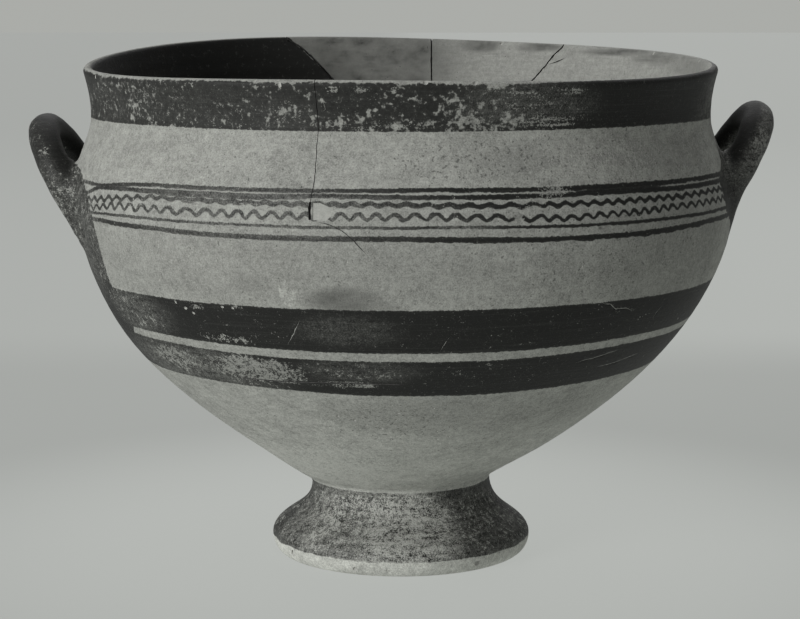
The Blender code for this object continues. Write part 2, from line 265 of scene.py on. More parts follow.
# Breaks, as turn and level in mm
FRONT_CRACK = ((-13.8, 211.9), (-13.9, 215.8), (-13.8, 220.7), (-13.4, 228), (-13.3, 235), (-13.5, 247.7),
               (-13.3, 256), (-13.5, 271.2), (-13.6, 278.1))
FRONT_CRACK_WITHIN = ((-13.7, 277), (-13.4, 262), (-13.8, 240), (-13.2, 214))
BACK_OPEN_CRACK = ((-154.9, 299.3), (-157.5, 292.7), (-160.2, 285.5), (-162.5, 278.3), (-164.6, 271.5),
                   (-167.5, 262))
BACK_OPEN_CRACK_BEHIND = ((-168, 258), (-162, 280), (-154.9, 298.5))
BACK_UPRIGHT_CRACK = ((173.4, 298.5), (173.2, 271.5), (172.9, 252))
BACK_UPRIGHT_CRACK_BEHIND = ((172.6, 230), (173.2, 262), (173.4, 297.5))
BACK_RIGHT_CRACK = ((143.6, 296.5), (145.2, 287.8), (147.0, 280.0), (149.5, 272.0), (153, 259))
BACK_RIGHT_CRACK_BEHIND = ((150, 262), (146, 281), (143.6, 294.5))
BACK_RIGHT_BRANCH = ((146.4, 281.2), (144.8, 282.3), (142.3, 285.5))
BACK_SHORT_CRACK = ((-144.7, 298.3), (-145.6, 292.4))
FINE_CRACKS = (
    ((-13.0, 211.4), (-10.7, 209.8), (-8.7, 206.6), (-7.0, 201.8), (-5.0, 194.4)),
    ((-53.8, 277.0), (-54.1, 269.2)),
    ((-38.5, 253.7), (-38.6, 251.2)),
    ((-28.7, 194.0), (-28.7, 188.9)),
)
SCRATCHES = (
    ((-13.2, 270.7), (-12.3, 268.8), (-12.0, 265.8), (-12.7, 264.3)),
    ((34.3, 166.0), (36.7, 164.9), (38.4, 161.6), (40.8, 161.5), (43.0, 159.2)),
    ((50.1, 151.7), (50.2, 156.2), (51.2, 159.7)),
    ((6.7, 143.8), (7.2, 147.7), (8.1, 152.1)),
    ((34.3, 132.2), (40.0, 134.6), (44.8, 137.0)),
    ((40.8, 127.2), (46.1, 128.8), (53.3, 131.9)),
    ((-16.5, 160.5), (-17.7, 154.9), (-19.6, 146.2)),
    ((-9.9, 154.7), (-10.0, 150.3)),
)
BAND_GROOVE = ((-34.1, 123.9), (-23.2, 124.1), (-17.6, 124.6), (-10.6, 125.2), (0.9, 124.8))
FILLED_PLACE = ((-13.4, 220.2), (-12.3, 220.3), (-10.5, 218.0),
                (-10.5, 214.1), (-11.3, 211.6), (-13.4, 212.0))
FILLED_DEPTH = 0.3
MM_PER_DEGREE = 3.1  # one degree of turn on the wall
LIP_DOT = (3.8, 1.6)
CHIPS = ((4.7, 46.0, 0.7), (14.4, 40.9, 0.8), (24.5, 35.8, 0.6), (-40.6, 164.8, 0.9), (-38.6, 162.1, 1.0),
         (-37.1, 159.8, 0.8), (-30.4, 164.9, 0.8), (-28.4, 164.8, 0.8), (-55, 6.0, 2.2), (-20, 4.0, 1.6),
         (35, 5.0, 2.0))
PITS_BELOW = 26  # small pits on the lower wall in front, then on the rest
PITS_ROUND = 44
RIM_NICKS = 22
UNNICKED = (-154.9, 173.4, 143.6, -13.6, -144.7, 3.8)  # turns of the breaks at the rim
CRACK_STEP = 1.1 * MM
CRACK_TAPER = 0.006  # a crack thins out over this much of its length
CUTTER_LIFT = 0.4 * MM

# Tones and tints
CLAY_TONE, PALE_AND_LIT_TONE, PAINT_TONE = 0.358, 0.49, 0.0165
# the dark sherd's tone is also the painted shade over the left of the inside
INSIDE_TONE, DARK_SHERD_AND_SHADE_TONE, BROKEN_TONE, DIRT_TONE = 0.33, 0.020, 0.42, 0.055
CLAY_TINT = (0.985, 1.0, 0.925)
BROKEN_TINT = (0.99, 1.0, 0.93)
DIRT_TINT = (1.0, 0.98, 0.93)
GRAIN_CONTRAST = 3.2


def smooth_step(value, low, high):
    t = np.clip((value - low) / (high - low), 0.0, 1.0)
    return t * t * (3.0 - 2.0 * t)


def at(radius, height):
    return np.array((radius, height))


def curve(start, leave, arrive, end, steps):
    """Points of a smooth curve in the profile plane, without its last one."""
    t = np.arange(steps)[:, None] / steps
    s = 1.0 - t
    return start * s ** 3 + leave * (3 * s * s * t) + arrive * (3 * s * t * t) + end * t ** 3


def foot_outside():
    standing = at(STANDING_RADIUS, 0.0)
    widest = at(FOOT_RADIUS, FOOT_EDGE_HEIGHT)
    stem = at(STEM_RADIUS, FOOT_HEIGHT)
    edge_out = at((FOOT_RADIUS + STANDING_RADIUS) / 2, 0.0)
    edge_up = at(FOOT_RADIUS, FOOT_EDGE_HEIGHT / 2)
    skirt = at(0.0, FOOT_HEIGHT - FOOT_EDGE_HEIGHT)
    edge = curve(standing, edge_out, edge_up, widest, EDGE_STEPS)
    side = curve(widest, widest + skirt * SKIRT_TOP_FULLNESS, stem - skirt * SKIRT_STEM_FULLNESS, stem,
                 SKIRT_STEPS)
    return np.vstack((edge, side, [stem]))


def bowl_outside():
    crease = at(STEM_RADIUS + CREASE_OUT, FOOT_HEIGHT + CREASE_UP)
    belly = at(BELLY_RADIUS, BELLY_HEIGHT)
    neck = at(NECK_RADIUS, NECK_HEIGHT)
    lip = at(LIP_RADIUS, LIP_EDGE_HEIGHT)
    flare = at(math.cos(FLARE_ANGLE), math.sin(FLARE_ANGLE)) * ((belly[0] - crease[0]) * FLARE_FULLNESS)
    under_belly = at(0.0, (belly[1] - crease[1]) * BELLY_FULLNESS_BELOW)
    over_belly = at(0.0, SHOULDER_RISE * BELLY_FULLNESS_ABOVE)
    under_neck = at(0.0, SHOULDER_RISE * NECK_FULLNESS)
    lip_reach = (lip[1] - neck[1]) * LIP_FULLNESS
    turn_out = at(math.cos(LIP_ANGLE), math.sin(LIP_ANGLE)) * lip_reach
    lower = curve(crease, crease + flare, belly - under_belly, belly, BOWL_STEPS)
    shoulder = curve(belly, belly + over_belly, neck - under_neck, neck, SHOULDER_STEPS)
    upper = curve(neck, neck + at(0.0, lip_reach), lip - turn_out, lip, LIP_STEPS)
    return np.vstack((lower, shoulder, upper, [lip]))


def unit(vectors):
    return vectors / np.linalg.norm(vectors, axis=1)[:, None]


def run_along(points):
    """Distance travelled from the first point to each."""
    return np.concatenate(([0.0], np.cumsum(np.linalg.norm(np.diff(points, axis=0), axis=1))))


def normals_of(line):
    along = unit(np.gradient(line, axis=0))
    return np.column_stack((along[:, 1], -along[:, 0]))


def wall_at(height):
    lower = LOWER_WALL + (WALL - LOWER_WALL) * smooth_step(height, FOOT_HEIGHT, BELLY_HEIGHT)
    return lower + (LIP_THICKNESS - WALL) * smooth_step(height, NECK_HEIGHT, LIP_EDGE_HEIGHT)


def set_in(line, share):
    """The same line, moved into the clay by a share of the wall's thickness."""
    return line - normals_of(line) * (share * wall_at(line[:, 1]))[:, None]


def lip_rounding(outer, inner):
    middle = (outer + inner) / 2
    reach = outer - middle
    upwards = at(-reach[1], reach[0])
    angles = np.linspace(0.0, math.pi, ROUNDING_STEPS + 1)[1:-1, None]
    return middle + reach * np.cos(angles) + upwards * np.sin(angles)


def bowl_floor(start):
    floor = at(0.0, FLOOR_HEIGHT)
    reach = start[0] / 3
    leave = start - at(reach, reach * math.tan(FLARE_ANGLE))
    return np.vstack((curve(start, leave, floor + at(reach, 0.0), floor, FLOOR_STEPS)[1:], [floor]))


def foot_hollow():
    top = at(0.0, HOLLOW_HEIGHT)
    ring = at(STANDING_RADIUS - FOOT_RING_WIDTH, 0.0)
    leave = top + at(ring[0] * HOLLOW_TOP_FULLNESS, 0.0)
    arrive = ring + at(-ring[0], top[1]) * (HOLLOW_RING_FULLNESS / 3) + at(0.0, top[1] / 3)
    return np.vstack((curve(top, leave, arrive, ring, HOLLOW_STEPS), [ring]))


OUTSIDE = bowl_outside()
INSIDE = set_in(OUTSIDE, 1.0)
FOOT_LINE = foot_outside()
HOLLOW_LINE = foot_hollow()


def inside_rows():
    """The inner wall from the lip down, with wider rows below the belly."""
    dense = INSIDE[BOWL_STEPS:]
    sparse = INSIDE[:BOWL_STEPS:INSIDE_SHARE]
    return np.vstack((sparse, dense))[::-1]


def whole_profile():
    """From the axis under the floor, over foot, wall and lip, down to the axis inside.

    Also gives the rows that are the outer wall and those that are the inner one.
    """
    before = np.vstack((HOLLOW_LINE, FOOT_LINE))
    rounding = lip_rounding(OUTSIDE[-1], INSIDE[-1])
    inner = inside_rows()
    line = np.vstack((before, OUTSIDE, rounding, inner, bowl_floor(INSIDE[0])))
    outer_rows = range(len(before), len(before) + len(OUTSIDE))
    first_inner = outer_rows.stop + len(rounding)
    return line, outer_rows, range(first_inner, first_inner + len(inner))


def rim_rise(turn):
    tilt = -RIM_TILT * np.cos(turn - RIM_TILT_TURN)
    sag = RIM_SAG * np.cos(2 * (turn - RIM_SAG_TURN))
    return tilt + sag + RIM_WARP * np.cos(3 * (turn - RIM_WARP_TURN))


def pressed(turn, height):
    """How far the wall stands out from its true round, at a turn in radians."""
    def share(low, first, last, high):
        return smooth_step(height, low, first) * (1.0 - smooth_step(height, last, high))

    across = np.sin(turn)
    bulge = RIGHT_BULGE * np.maximum(across, 0.0) ** 2 * share(*BULGE_LEVELS)
    return bulge - LEFT_FLAT * np.maximum(-across, 0.0) ** 3 * share(*FLAT_LEVELS)


def lump(place):
    """Slow swelling of the hand-finished wall, from -1 to 1."""
    return noise.noise(place * 14.0) + 0.4 * noise.noise(place * 43.0)


def column_turns():
    turns = 2 * math.pi * np.arange(COLUMNS) / COLUMNS
    return turns - FRONT_CROWDING * np.sin(turns)


def pot_grid(line, outer_rows, inner_rows):
    """Places on the pot's skin, as rows by columns by 3, with the unevenness of hand work."""
    turns = column_turns()
    radius, height = line[:, :1], line[:, 1:]
    run = run_along(line)[:, None]
    depth = np.zeros((len(line), 1))
    depth[list(outer_rows), 0] = WHEEL_MARK_OUTSIDE
    depth[list(inner_rows), 0] = WHEEL_MARK_INSIDE
    depth = depth * smooth_step(RIM_HEIGHT - height, *WHEEL_MARK_FADE)
    once, thrice = WHEEL_MARK_WANDER
    wave = np.sin(2 * math.pi * run / WHEEL_MARK_SPACING + once * np.sin(turns) + thrice * np.sin(3 * turns))
    normal = normals_of(line)
    rise = smooth_step(height, SWAY_HEIGHT, LIP_EDGE_HEIGHT) * rim_rise(turns)
    low, full, falling, gone = CREASE_LEVELS
    tilted = smooth_step(height, low, full) * smooth_step(-height, -gone, -falling)
    rise = rise + CREASE_TILT * np.sin(turns) * tilted
    moved_radius = radius + normal[:, :1] * depth * wave + pressed(turns, height)
    moved_height = height + normal[:, 1:] * depth * wave + rise
    grid = np.dstack((moved_radius * np.sin(turns), -moved_radius * np.cos(turns), moved_height))
    swell = np.array([lump(Vector(place)) for place in grid.reshape(-1, 3)]).reshape(grid.shape[:2])
    free = smooth_step(height, 0.0, GROUND_REACH) * smooth_step(radius, 0.0, AXIS_REACH)
    grid[..., :2] *= (1.0 + LUMP_DEPTH * swell * free / np.maximum(radius, AXIS_REACH))[..., None]
    return grid * WITHIN_SOLID


def mesh_object(name, vertices, faces):
    mesh = bpy.data.meshes.new(name)
    mesh.from_pydata(vertices, [], faces)
    mesh.validate()
    thing = bpy.data.objects.new(name, mesh)
    bpy.context.scene.collection.objects.link(thing)
    return thing


def face_outwards(thing, in_triangles=False):
    work = bmesh.new()
    work.from_mesh(thing.data)
    if in_triangles:
        bmesh.ops.triangulate(work, faces=work.faces)
    bmesh.ops.recalc_face_normals(work, faces=work.faces)
    work.to_mesh(thing.data)
    work.free()


def ring_faces(index):
    """Faces between rings of corners, where each ring closes on itself."""
    following = np.roll(index, -1, axis=1)
    return np.stack((index[:-1], following[:-1], following[1:], index[1:]), axis=-1).reshape(-1, 4).tolist()


def solid_from_grid(name, grid):
    """A closed solid whose first and last rows lie on the axis."""
    rows, columns = grid.shape[:2]
    vertices = np.vstack(([grid[0].mean(0)], grid[1:-1].reshape(-1, 3), [grid[-1].mean(0)]))
    index = 1 + np.arange((rows - 2) * columns).reshape(rows - 2, columns)
    low = [(0, b, a) for a, b in zip(index[0].tolist(), np.roll(index[0], -1).tolist())]
    last = len(vertices) - 1
    high = [(a, b, last) for a, b in zip(index[-1].tolist(), np.roll(index[-1], -1).tolist())]
    return mesh_object(name, vertices.tolist(), ring_faces(index) + low + high)


def outer_radius(height):
    heights = np.concatenate((FOOT_LINE[:, 1], OUTSIDE[:, 1], [1.0]))
    radii = np.concatenate((FOOT_LINE[:, 0], OUTSIDE[:, 0], [LIP_RADIUS]))
    return np.interp(height, heights, radii)


def inner_radius(height):
    line = np.vstack((bowl_floor(INSIDE[0])[::-1], INSIDE))
    return np.interp(height, line[:, 1], line[:, 0])


def resampled(points, step):
    """The same path with even steps."""
    run = run_along(points)
    stops = np.linspace(0.0, run[-1], max(2, round(run[-1] / step)))
    return np.column_stack([np.interp(stops, run, values) for values in points.T])


def handle_path(make):
    """Middle of the bar, from inside the wall round the loop to inside the wall."""
    slope = math.radians(make["slope"])
    outwards = np.array((make["side"], 0.0, 0.0))
    up_slope = outwards * math.cos(slope) + np.array((0.0, 0.0, math.sin(slope)))
    across = np.array((0.0, make["spread"], 0.0))
    apex = outwards * make["reach"] + np.array((0.0, 0.0, make["height"]))
    arm = []
    drop = HANDLE_ARCH
    taken_in = False
    while not taken_in:
        place = apex - up_slope * drop - outwards * (make["bow"] * (drop / BOW_RUN) ** make["curl"])
        arm.append(place)
        face = math.sqrt(outer_radius(place[2]) ** 2 - make["spread"] ** 2)
        taken_in = face - abs(place[0]) > make["bar"] * SUNK_SHARE or place[2] < ARM_END
        drop += HANDLE_STEP
    arm.append(arm[-1] - outwards * (make["bar"] + LOWER_WALL))
    bow_at_arch = outwards * (make["bow"] * (HANDLE_ARCH / BOW_RUN) ** make["curl"])
    arch = []
    for angle in np.linspace(0.0, math.pi, ARCH_STEPS)[1:-1]:
        lift = math.sin(angle)
        arch.append(apex - across * math.cos(angle) + up_slope * (HANDLE_ARCH * (lift - 1.0))
                    - bow_at_arch * (1.0 - lift) ** 2)
    path = [place - across for place in reversed(arm)] + arch + [place + across for place in arm]
    return resampled(np.array(path), HANDLE_STEP)


def bar_radii(path, make):
    drop = (make["height"] - path[:, 2]) / math.sin(math.radians(make["slope"]))
    swell = ROOT_SWELL * smooth_step(drop, HANDLE_ARCH / 2, HANDLE_ARCH / 2 + ROOT_SWELL_RUN)
    return make["bar"] + swell


def loop_handle(make):
    """A round bar along the loop, with slightly uneven thickness."""
    path = handle_path(make)
    slope = math.radians(make["slope"])
    off_plane = np.array((make["side"] * math.sin(slope), 0.0, -math.cos(slope)))
    along = unit(np.gradient(path, axis=0))
    sideways = unit(np.cross(along, off_plane))
    outwards = np.cross(sideways, along)
    angles = 2 * math.pi * np.arange(HANDLE_SIDES) / HANDLE_SIDES
    around = sideways[:, None] * np.cos(angles)[:, None] + outwards[:, None] * np.sin(angles)[:, None]
    radii = bar_radii(path, make)[:, None, None]
    rings = path[:, None] + around * radii
    uneven = np.array([noise.noise(Vector(place) * 90.0) for place in rings.reshape(-1, 3)])
    rings = path[:, None] + around * (radii + HANDLE_UNEVEN * uneven.reshape(rings.shape[:2])[..., None])
    index = np.arange(rings.shape[0] * HANDLE_SIDES).reshape(-1, HANDLE_SIDES)
    faces = ring_faces(index) + [index[0][::-1].tolist(), index[-1].tolist()]
    thing = mesh_object(make["name"] + "_handle_form", rings.reshape(-1, 3).tolist(), faces)
    face_outwards(thing)
    return thing


def wall_core():
    """Everything inside the middle of the wall: it trims what would stand through it."""
    middle = set_in(OUTSIDE, 0.5)
    above = at(middle[-1][0], RIM_HEIGHT + BELLY_RADIUS)
    line = np.vstack(([at(0.0, middle[0][1])], middle, [above], [at(0.0, above[1])]))
    turns = 2 * math.pi * np.arange(CORE_COLUMNS) / CORE_COLUMNS
    radius, height = line[:, :1], line[:, 1:]
    grid = np.dstack((radius * np.sin(turns), -radius * np.cos(turns),
                      np.repeat(height, CORE_COLUMNS, axis=1)))
    return solid_from_grid("wall_core", grid)


def combine(thing, other, operation):
    """Cut or join two solids for good, and take the other one away."""
    step = thing.modifiers.new(operation.lower(), "BOOLEAN")
    step.operation = operation
    step.solver = "EXACT"
    step.material_mode = "TRANSFER"
    step.object = other
    bpy.context.view_layer.update()
    dressed = thing.evaluated_get(bpy.context.evaluated_depsgraph_get())
    mesh = bpy.data.meshes.new_from_object(dressed)
    thing.modifiers.clear()
    thing.data = mesh
    bpy.data.objects.remove(other)


def at_corners(mesh, field):
    """One vector for each corner of the mesh: its place or its normal."""
    values = np.empty(len(mesh.vertices) * 3)
    mesh.vertices.foreach_get(field, values)
    return values.reshape(-1, 3)


def turn_of(places):
    return np.arctan2(places[:, 0], -places[:, 1])


def true_height(places):
    """Level over the ground before the uneven rim lifted it."""
    rise = rim_rise(turn_of(places))
    height = places[:, 2].copy()
    for _ in range(3):
        height = places[:, 2] - smooth_step(height, SWAY_HEIGHT, LIP_EDGE_HEIGHT) * rise
    return height


def outer_face(places):
    """Radius of the outer face beside each place."""
    height = true_height(places)
    return outer_radius(height) + pressed(turn_of(places), height)


def off_wall(places):
    """Distance outside the bowl's outer face, less than nothing in the clay."""
    height = true_height(places)
    slope = (outer_radius(height + MM) - outer_radius(height - MM)) / (2 * MM)
    return (np.hypot(places[:, 0], places[:, 1]) - outer_face(places)) / np.sqrt(1.0 + slope ** 2)


def off_bar(places, path, radii):
    """Distance outside the bar that follows the path."""
    gaps = np.linalg.norm(places[:, None] - path[None], axis=2) - radii[None]
    return gaps.min(axis=1)


def joined_distance(places, path, radii):
    """Distance to wall and bar together, with the joint filled by a smooth hollow."""
    wall, bar = off_wall(places), off_bar(places, path, radii)
    fill = np.maximum(HANDLE_FILLET - np.abs(wall - bar), 0.0) / HANDLE_FILLET
    return np.minimum(wall, bar) - fill ** 2 * HANDLE_FILLET / 4


def near_joint(places, path, radii, reach):
    """Which corners of the outer skin lie close to both the wall and the bar."""
    beside = (places[:, 0] * path[0, 0] > 0) & (np.abs(places[:, 0]) > 0.7 * BELLY_RADIUS)
    near = np.zeros(len(places), bool)
    index = np.flatnonzero(beside & (np.abs(places[:, 1]) < BELLY_RADIUS / 2))
    wall, bar = off_wall(places[index]), off_bar(places[index], path, radii)
    near[index] = (wall > -WALL / 3) & (wall < reach) & (np.abs(bar) < reach)
    return near


def smooth_joint(pot, make):
    """Finer faces round a handle's joint, drawn out onto the smooth hollow between bar and wall."""
    path = handle_path(make)
    radii = bar_radii(path, make)
    work = bmesh.new()
    work.from_mesh(pot.data)
    near = near_joint(np.array([corner.co for corner in work.verts]), path, radii, HANDLE_FILLET * 0.6)
    edges = [edge for edge in work.edges if near[edge.verts[0].index] and near[edge.verts[1].index]
             and edge.calc_length() > JOINT_EDGE]
    bmesh.ops.subdivide_edges(work, edges=edges, cuts=1, use_grid_fill=True)
    work.verts.ensure_lookup_table()
    places = np.array([corner.co for corner in work.verts])
    index = np.flatnonzero(near_joint(places, path, radii, HANDLE_FILLET))
    moved = places[index]
    kept = np.minimum(off_wall(moved), off_bar(moved, path, radii))
    for _ in range(5):
        value = joined_distance(moved, path, radii)
        slopes = np.array([(joined_distance(moved + axis, path, radii) - value) / SLOPE_STEP
                           for axis in np.eye(3) * SLOPE_STEP]).T
        steepness = np.maximum((slopes ** 2).sum(1), 0.3)
        moved = moved - slopes * ((value - kept) / steepness)[:, None]
    for corner, place in zip(index.tolist(), moved.tolist()):
        work.verts[corner].co = place
    work.to_mesh(pot.data)
    work.free()


def build_pot(materials):
    """The whole pot with its breaks cut in, placed on the skin of its grid."""
    line, outer_rows, inner_rows = whole_profile()
    grid = pot_grid(line, outer_rows, inner_rows)
    pot = solid_from_grid("fired_bowl", grid)
    pot.data.materials.append(materials["painted"])
    for make in HANDLES:
        handle = loop_handle(make)
        handle.data.materials.append(materials["painted"])
        core = wall_core()
        core.data.materials.append(materials["painted"])
        combine(handle, core, "DIFFERENCE")
        combine(pot, handle, "UNION")
        smooth_joint(pot, make)
    skin = Skin(grid, outer_rows, inner_rows)
    for cutter in all_cutters(skin, materials):
        combine(pot, cutter, "DIFFERENCE")
    pot.data.shade_smooth()
    pot.data.set_sharp_from_angle(angle=SHARP_EDGE)
    return pot


class Skin:
    """The pot's own surface, to find places on it by turn and row of its grid."""

    def __init__(self, grid, outer_rows, inner_rows):
        self.grid = grid
        self.outer_rows = np.array(outer_rows)
        self.inner_rows = np.array(inner_rows)[::-1]
        self.turns = np.append(np.degrees(column_turns()), 360.0)

    def line_at(self, turn):
        column = np.interp(turn % 360.0, self.turns, np.arange(COLUMNS + 1))
        before = int(column)
        share = column - before
        return self.grid[:, before % COLUMNS] * (1.0 - share) + self.grid[:, (before + 1) % COLUMNS] * share

    def row_at(self, turn, level, inside):
        rows = self.inner_rows if inside else self.outer_rows
        return np.interp(level * MM, self.line_at(turn)[rows, 2], rows)

    def place_at(self, turn, row):
        line = self.line_at(turn)
        before = int(row)
        return line[before] * (1.0 - (row - before)) + line[before + 1] * (row - before)

    def normal_at(self, turn, row):
        across = self.place_at(turn + 0.3, row) - self.place_at(turn - 0.3, row)
        along = self.place_at(turn, row + 0.4) - self.place_at(turn, row - 0.4)
        normal = np.cross(across, along)
        return normal / np.linalg.norm(normal)

    def stations(self, outside=(), inside=()):
        """Even steps along a break, with the normals: up the outside, over the lip, down within."""
        stops = [(turn, self.row_at(turn, level, False)) for turn, level in outside]
        stops += [(turn, self.row_at(turn, level, True)) for turn, level in inside]
        fine = [stops[0]]
        for (turn, row), (next_turn, next_row) in zip(stops, stops[1:]):
            gap = np.linalg.norm(self.place_at(next_turn, next_row) - self.place_at(turn, row))
            parts = max(2, math.ceil(max(gap / (0.4 * MM), abs(next_row - row) * 3)))
            shares = np.arange(1, parts + 1) / parts
            fine += [(turn + (next_turn - turn) * share, row + (next_row - row) * share) for share in shares]
        fine = np.array(fine)
        places = np.array([self.place_at(*stop) for stop in fine])
        run = run_along(places)
        stops = np.linspace(0.0, run[-1], max(3, round(run[-1] / CRACK_STEP) + 1))
        chosen = np.column_stack((np.interp(stops, run, fine[:, 0]), np.interp(stops, run, fine[:, 1])))
        return (np.array([self.place_at(*stop) for stop in chosen]),
                np.array([self.normal_at(*stop) for stop in chosen]), stops)


def blade(stations, half, depth, wander, seed, ends=(True, True)):
    """Corners and faces of a wedge that cuts a break into the skin."""
    places, normals, run = stations
    draw = random.Random(seed)
    sideways = unit(np.cross(unit(np.gradient(places, axis=0)), normals))
    drift = np.array([draw.uniform(-1.0, 1.0) for _ in run])
    drift = np.convolve(np.pad(drift, 1, mode="edge"), (0.3, 0.4, 0.3), mode="valid") * wander
    from_start = np.minimum(run / CRACK_TAPER, 1.0) if ends[0] else np.ones(len(run))
    from_end = np.minimum((run[-1] - run) / CRACK_TAPER, 1.0) if ends[1] else np.ones(len(run))
    taper = 0.2 + 0.8 * np.minimum(from_start, from_end)
    uneven = np.array([draw.uniform(0.7, 1.25) for _ in run]) * taper
    middle = places + sideways * drift[:, None]
    spread = sideways * (half * uneven)[:, None]
    top = middle + normals * CUTTER_LIFT
    rings = np.stack((top + spread, top - spread, middle - normals * (depth * taper)[:, None]), axis=1)
    index = np.arange(len(run) * 3).reshape(-1, 3)
    return rings.reshape(-1, 3), ring_faces(index) + [index[0].tolist(), index[-1].tolist()]


def dent(place, normal, half, depth, draw):
    """Corners and faces of an uneven flattened ball that cuts a small pit or chip."""
    work = bmesh.new()
    bmesh.ops.create_icosphere(work, subdivisions=2, radius=1.0)
    facing = Vector(normal).to_track_quat("Z", "Y").to_matrix()
    turned = facing @ Matrix.Rotation(draw.uniform(0, math.tau), 3, "Z")
    stretch = draw.uniform(0.75, 1.35)
    offset = Vector((draw.uniform(0, 9), draw.uniform(0, 9), draw.uniform(0, 9)))
    corners = []
    for corner in work.verts:
        uneven = 1.0 + 0.35 * noise.noise(corner.co * 1.6 + offset)
        shaped = Vector((corner.co.x * half * stretch, corner.co.y * half / stretch,
                         corner.co.z * depth)) * uneven
        corners.append(tuple(turned @ shaped + Vector(place)))
    faces = [[corner.index for corner in face.verts] for face in work.faces]
    work.free()
    return np.array(corners), faces


def sunk_plate(skin, outline, depth):
    """Corners and faces of a plate that lowers a small place of the wall."""
    rows = [(turn, skin.row_at(turn, level, False)) for turn, level in outline]
    places = np.array([skin.place_at(*stop) for stop in rows])
    normals = np.array([skin.normal_at(*stop) for stop in rows])
    count = len(rows)
    sides = [[i, (i + 1) % count, count + (i + 1) % count, count + i] for i in range(count)]
    faces = [list(range(count))[::-1], list(range(count, 2 * count))] + sides
    return np.vstack((places - normals * depth, places + normals * MM)), faces


def cutter_from(name, pieces, material):
    """One object from many separate closed pieces."""
    corners, faces = [], []
    for piece_corners, piece_faces in pieces:
        faces += [[index + len(corners) for index in face] for face in piece_faces]
        corners += piece_corners.tolist()
    thing = mesh_object(name, corners, faces)
    face_outwards(thing, in_triangles=True)
    thing.data.materials.append(material)
    return thing


def spread_out(draw, count, span_turn, span_level, taken, gap):
    """Turns and levels drawn at random that stay clear of each other and of what is there."""
    found = []
    for _ in range(count * 40):
        turn, level = draw.uniform(*span_turn), draw.uniform(*span_level)
        if all(math.hypot((turn - other) * MM_PER_DEGREE, level - other_level) > gap
               for other, other_level in taken + found):
            found.append((turn, level))
        if len(found) == count:
            break
    return found


def all_cutters(skin, materials):
    """Every break as solids to cut with, in groups whose pieces don't touch."""
    dirt_and_shade, broken = materials["dirt_and_shade"], materials["broken"]
    through = (  # outside, inside, half width, depth and wander in mm
        (FRONT_CRACK, FRONT_CRACK_WITHIN, 0.25, 1.3, 0.16),
        (BACK_OPEN_CRACK_BEHIND, BACK_OPEN_CRACK, 0.8, 2.0, 0.22),
        (BACK_UPRIGHT_CRACK_BEHIND, BACK_UPRIGHT_CRACK, 0.65, 1.9, 0.10),
        (BACK_RIGHT_CRACK_BEHIND, BACK_RIGHT_CRACK, 0.62, 1.9, 0.28),
    )
    cracks = [blade(skin.stations(outside, inside), half * MM, depth * MM, wander * MM, seed)
              for seed, (outside, inside, half, depth, wander) in enumerate(through)]
    cracks.append(blade(skin.stations(inside=BACK_SHORT_CRACK), 0.4 * MM, 1.4 * MM, 0.1 * MM, 11))
    cracks += [blade(skin.stations(outside=path), 0.3 * MM, 0.7 * MM, 0.15 * MM, 20 + seed)
               for seed, path in enumerate(FINE_CRACKS)]
    cracks.append(blade(skin.stations(outside=BAND_GROOVE), 0.65 * MM, 0.7 * MM, 0.2 * MM, 31))
    branches = [blade(skin.stations(inside=BACK_RIGHT_BRANCH), 0.5 * MM, 1.6 * MM, 0.1 * MM, 12),
                blade(skin.stations(outside=FRONT_CRACK[:3]), 0.8 * MM, 2.4 * MM, 0.1 * MM, 13,
                      (False, False))]
    scratches = [blade(skin.stations(outside=path), 0.6 * MM, 0.16 * MM, 0.35 * MM, 40 + seed)
                 for seed, path in enumerate(SCRATCHES)]
    scratches.append(sunk_plate(skin, FILLED_PLACE, FILLED_DEPTH * MM))

    draw = random.Random(5)
    taken = [(turn, level) for path in SCRATCHES + FINE_CRACKS + (FRONT_CRACK, FILLED_PLACE, BAND_GROOVE)
             for turn, level in path]
    chips = []
    for turn, level, half in CHIPS:
        if level < FOOT_HEIGHT / MM:
            radius = outer_radius(level * MM)
            angle = math.radians(turn)
            normal = np.array((math.sin(angle), -math.cos(angle), 0.0))
            place = normal * radius + np.array((0.0, 0.0, level * MM))
        else:
            row = skin.row_at(turn, level, False)
            place, normal = skin.place_at(turn, row), skin.normal_at(turn, row)
        chips.append(dent(place, normal, half * MM, 0.5 * half * MM, draw))
        taken.append((turn, level))
    pits = spread_out(draw, PITS_BELOW, (-15, 14), (78, 112), taken, 4.0)
    pits += spread_out(draw, PITS_ROUND, (-180, 180), (60, 250), taken + pits, 6.0)
    for turn, level in pits:
        if abs(abs(turn) - 90) < HANDLE_TURNS and level > ARM_END / MM:
            continue
        row = skin.row_at(turn, level, False)
        half = draw.uniform(0.35, 0.95) * MM
        chips.append(dent(skin.place_at(turn, row), skin.normal_at(turn, row), half, half * 0.6, draw))
    lip_row = int(skin.outer_rows[-1])
    dot_turn, dot_half = LIP_DOT
    chips.append(dent(skin.place_at(dot_turn, lip_row + 3), skin.normal_at(dot_turn, lip_row + 3),
                      dot_half * MM, dot_half * MM / 2, draw))
    turns = sorted(draw.uniform(-180, 180) for _ in range(RIM_NICKS))
    for turn, following in zip(turns, turns[1:] + [turns[0] + 360]):
        if following - turn < 2.5 or min(abs(turn - other) for other in UNNICKED) < 3:
            continue
        row = lip_row + draw.choice((1.0, 3.0, 8.0))
        half = draw.uniform(0.6, 1.6) * MM
        chips.append(dent(skin.place_at(turn, row), skin.normal_at(turn, row), half, half * 0.5, draw))
    return (cutter_from("crack_cutter", cracks, dirt_and_shade), cutter_from("branch_cutter", branches, dirt_and_shade),
            cutter_from("scratch_cutter", scratches, broken), cutter_from("chip_cutter", chips, broken))


def around(controls, turn):
    """Value at each turn, in degrees, between the few that are named."""
    turns, values = zip(*sorted(controls))
    return np.interp(turn, turns, values, period=360.0)


